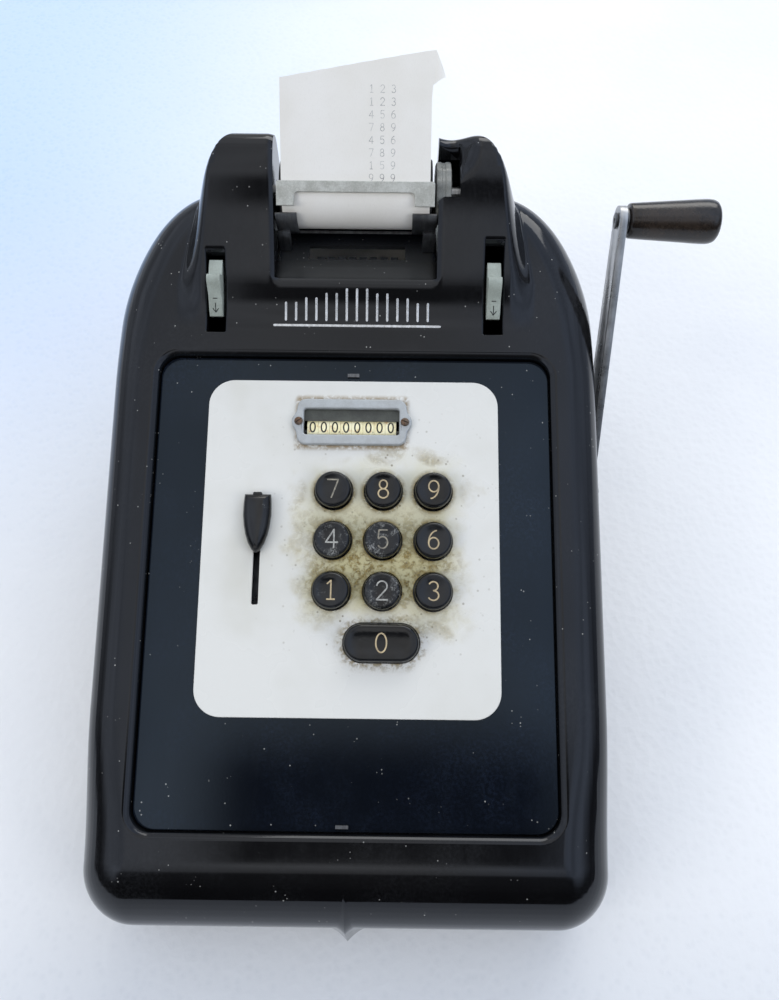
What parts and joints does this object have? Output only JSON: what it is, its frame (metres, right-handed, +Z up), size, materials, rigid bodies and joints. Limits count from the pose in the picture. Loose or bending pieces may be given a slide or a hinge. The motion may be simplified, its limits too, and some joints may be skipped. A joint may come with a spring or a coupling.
{
  "type": "adding machine",
  "caption": "Hand-crank ten-key adding machine with a moulded housing, a sloping white key plate, a totals counter, a paper platen in a rear hood and a side crank.",
  "frame": {"origin": "on the surface it stands on, under the centre of the whole bounding box (crank and paper included)", "axes": "+X to the right of the user, where the crank is; +Y from the keyboard to the paper hood; +Z up"},
  "size_m": [0.237, 0.2856, 0.1771],
  "materials": {
    "bakelite": "moulded phenolic, polished",
    "black_enamel": "gloss stove enamel",
    "white_enamel": "satin, worn",
    "key_plastic": "polished, engraved figures",
    "grey_paint": "satin",
    "counter_wheel": "yellowed",
    "mask_paint": "dull",
    "steel": "satin",
    "dark_steel": "oxidised",
    "frame_iron": "dull",
    "lever_plastic": "satin",
    "rubber": "matt",
    "paper": "matte",
    "nickel": "dulled plating",
    "grip_plastic": "polished, dark brown",
    "brass": "dull"
  },
  "bodies": {
    "base": {"housing": "bakelite", "base_pan": "dark_steel", "foot_front_left": "rubber", "foot_front_right": "rubber", "foot_rear_left": "rubber", "foot_rear_right": "rubber", "key_panel": "black_enamel", "face_plate": "white_enamel", "counter_bezel": "grey_paint", "bezel_screw_left": "dark_steel", "bezel_screw_right": "dark_steel", "counter_mask": "mask_paint", "counter_shaft": "steel", "key_guide_plate": "steel", "lever_pivot_left": "steel", "lever_pivot_right": "steel", "channel_floor": "black_enamel", "tear_bar": "nickel", "ribbon_guide": "dark_steel", "paper_strip": "paper", "roll_spindle": "steel", "side_frame_left": "frame_iron", "side_frame_right": "frame_iron", "frame_tie_rod": "steel", "carriage_rail": "steel", "panel_clip_rear": "steel", "panel_clip_front": "steel"},
    "platen_set": {"platen": "rubber", "platen_shaft": "steel", "platen_knob": "steel"},
    "paper_supply": {"paper_roll": "paper"},
    "crank": {"crank_arm": "steel", "crank_shaft": "steel", "crank_nut": "dark_steel", "grip_spindle": "dark_steel"},
    "crank_handle": {"crank_grip": "grip_plastic"},
    "print_bank": {"type_bank": "steel"},
    "pin_box": {"pin_carriage": "brass"},
    "correction": {"correction_lever": "key_plastic"},
    "repeat": {"repeat_lever": "lever_plastic"},
    "total": {"total_lever": "lever_plastic"},
    "key_0_body": {"key_0": "key_plastic"},
    "key_1_body": {"key_1": "key_plastic"},
    "key_2_body": {"key_2": "key_plastic"},
    "key_3_body": {"key_3": "key_plastic"},
    "key_4_body": {"key_4": "key_plastic"},
    "key_5_body": {"key_5": "key_plastic"},
    "key_6_body": {"key_6": "key_plastic"},
    "key_7_body": {"key_7": "key_plastic"},
    "key_8_body": {"key_8": "key_plastic"},
    "key_9_body": {"key_9": "key_plastic"},
    "wheel_1_body": {"number_wheel_1": "counter_wheel"},
    "wheel_2_body": {"number_wheel_2": "counter_wheel"},
    "wheel_3_body": {"number_wheel_3": "counter_wheel"},
    "wheel_4_body": {"number_wheel_4": "counter_wheel"},
    "wheel_5_body": {"number_wheel_5": "counter_wheel"},
    "wheel_6_body": {"number_wheel_6": "counter_wheel"},
    "wheel_7_body": {"number_wheel_7": "counter_wheel"},
    "wheel_8_body": {"number_wheel_8": "counter_wheel"}
  },
  "joints": [
    {"name": "crank_pull", "type": "hinge", "parent": "base", "child": "crank", "pos_m": [0.07805, 0.03196, 0.06], "axis": [1, 0, 0], "range_deg": [0, 78], "stiffness_Nm_per_rad": 0.05, "springref_deg": -34.38},
    {"name": "grip_spin", "type": "hinge", "parent": "crank", "child": "crank_handle", "pos_m": [0.09805, 0.10715, 0.14234], "axis": [1, 0, 0], "continuous": true},
    {"name": "platen_turn", "type": "hinge", "parent": "base", "child": "platen_set", "pos_m": [-0.02195, 0.12146, 0.1416], "axis": [1, 0, 0], "continuous": true},
    {"name": "paper_roll_turn", "type": "hinge", "parent": "base", "child": "paper_supply", "pos_m": [-0.02195, 0.11396, 0.08], "axis": [1, 0, 0], "continuous": true},
    {"name": "type_bank_rise", "type": "hinge", "parent": "base", "child": "print_bank", "pos_m": [-0.02195, 0.07296, 0.1055], "axis": [1, 0, 0], "range_deg": [0, 12.5]},
    {"name": "pin_carriage_travel", "type": "slide", "parent": "base", "child": "pin_box", "axis": [-1, 0, 0], "range_m": [0, 0.034]},
    {"name": "correction_pull", "type": "slide", "parent": "base", "child": "correction", "axis": [0, -0.9563, -0.2924], "range_m": [0, 0.019], "stiffness_N_per_m": 30, "springref_m": -0.01},
    {"name": "repeat_rock", "type": "hinge", "parent": "base", "child": "repeat", "pos_m": [-0.07765, 0.09996, 0.103], "axis": [1, 0, 0], "range_deg": [-4, 8]},
    {"name": "total_rock", "type": "hinge", "parent": "base", "child": "total", "pos_m": [0.03365, 0.09996, 0.103], "axis": [1, 0, 0], "range_deg": [-11, 6], "stiffness_Nm_per_rad": 0.03},
    {"name": "key_0_press", "type": "slide", "parent": "base", "child": "key_0_body", "axis": [0, 0.2924, -0.9563], "range_m": [0, 0.0045], "stiffness_N_per_m": 200, "springref_m": -0.002},
    {"name": "key_1_press", "type": "slide", "parent": "base", "child": "key_1_body", "axis": [0, 0.2924, -0.9563], "range_m": [0, 0.0045], "stiffness_N_per_m": 200, "springref_m": -0.002},
    {"name": "key_2_press", "type": "slide", "parent": "base", "child": "key_2_body", "axis": [0, 0.2924, -0.9563], "range_m": [0, 0.0045], "stiffness_N_per_m": 200, "springref_m": -0.002},
    {"name": "key_3_press", "type": "slide", "parent": "base", "child": "key_3_body", "axis": [0, 0.2924, -0.9563], "range_m": [0, 0.0045], "stiffness_N_per_m": 200, "springref_m": -0.002},
    {"name": "key_4_press", "type": "slide", "parent": "base", "child": "key_4_body", "axis": [0, 0.2924, -0.9563], "range_m": [0, 0.0045], "stiffness_N_per_m": 200, "springref_m": -0.002},
    {"name": "key_5_press", "type": "slide", "parent": "base", "child": "key_5_body", "axis": [0, 0.2924, -0.9563], "range_m": [0, 0.0045], "stiffness_N_per_m": 200, "springref_m": -0.002},
    {"name": "key_6_press", "type": "slide", "parent": "base", "child": "key_6_body", "axis": [0, 0.2924, -0.9563], "range_m": [0, 0.0045], "stiffness_N_per_m": 200, "springref_m": -0.002},
    {"name": "key_7_press", "type": "slide", "parent": "base", "child": "key_7_body", "axis": [0, 0.2924, -0.9563], "range_m": [0, 0.0045], "stiffness_N_per_m": 200, "springref_m": -0.002},
    {"name": "key_8_press", "type": "slide", "parent": "base", "child": "key_8_body", "axis": [0, 0.2924, -0.9563], "range_m": [0, 0.0045], "stiffness_N_per_m": 200, "springref_m": -0.002},
    {"name": "key_9_press", "type": "slide", "parent": "base", "child": "key_9_body", "axis": [0, 0.2924, -0.9563], "range_m": [0, 0.0045], "stiffness_N_per_m": 200, "springref_m": -0.002},
    {"name": "wheel_1_turn", "type": "hinge", "parent": "base", "child": "wheel_1_body", "pos_m": [-0.03787, 0.03713, 0.09682], "axis": [1, 0, 0], "continuous": true},
    {"name": "wheel_2_turn", "type": "hinge", "parent": "base", "child": "wheel_2_body", "pos_m": [-0.03352, 0.03713, 0.09682], "axis": [1, 0, 0], "continuous": true},
    {"name": "wheel_3_turn", "type": "hinge", "parent": "base", "child": "wheel_3_body", "pos_m": [-0.02917, 0.03713, 0.09682], "axis": [1, 0, 0], "continuous": true},
    {"name": "wheel_4_turn", "type": "hinge", "parent": "base", "child": "wheel_4_body", "pos_m": [-0.02482, 0.03713, 0.09682], "axis": [1, 0, 0], "continuous": true},
    {"name": "wheel_5_turn", "type": "hinge", "parent": "base", "child": "wheel_5_body", "pos_m": [-0.02048, 0.03713, 0.09682], "axis": [1, 0, 0], "continuous": true},
    {"name": "wheel_6_turn", "type": "hinge", "parent": "base", "child": "wheel_6_body", "pos_m": [-0.01613, 0.03713, 0.09682], "axis": [1, 0, 0], "continuous": true},
    {"name": "wheel_7_turn", "type": "hinge", "parent": "base", "child": "wheel_7_body", "pos_m": [-0.01178, 0.03713, 0.09682], "axis": [1, 0, 0], "continuous": true},
    {"name": "wheel_8_turn", "type": "hinge", "parent": "base", "child": "wheel_8_body", "pos_m": [-0.00743, 0.03713, 0.09682], "axis": [1, 0, 0], "continuous": true}
  ],
  "couplings": [
    {"joint": "type_bank_rise", "follows": "crank_pull", "ratio": 0.15385},
    {"joint": "paper_roll_turn", "follows": "platen_turn", "ratio": -0.77746}
  ]
}
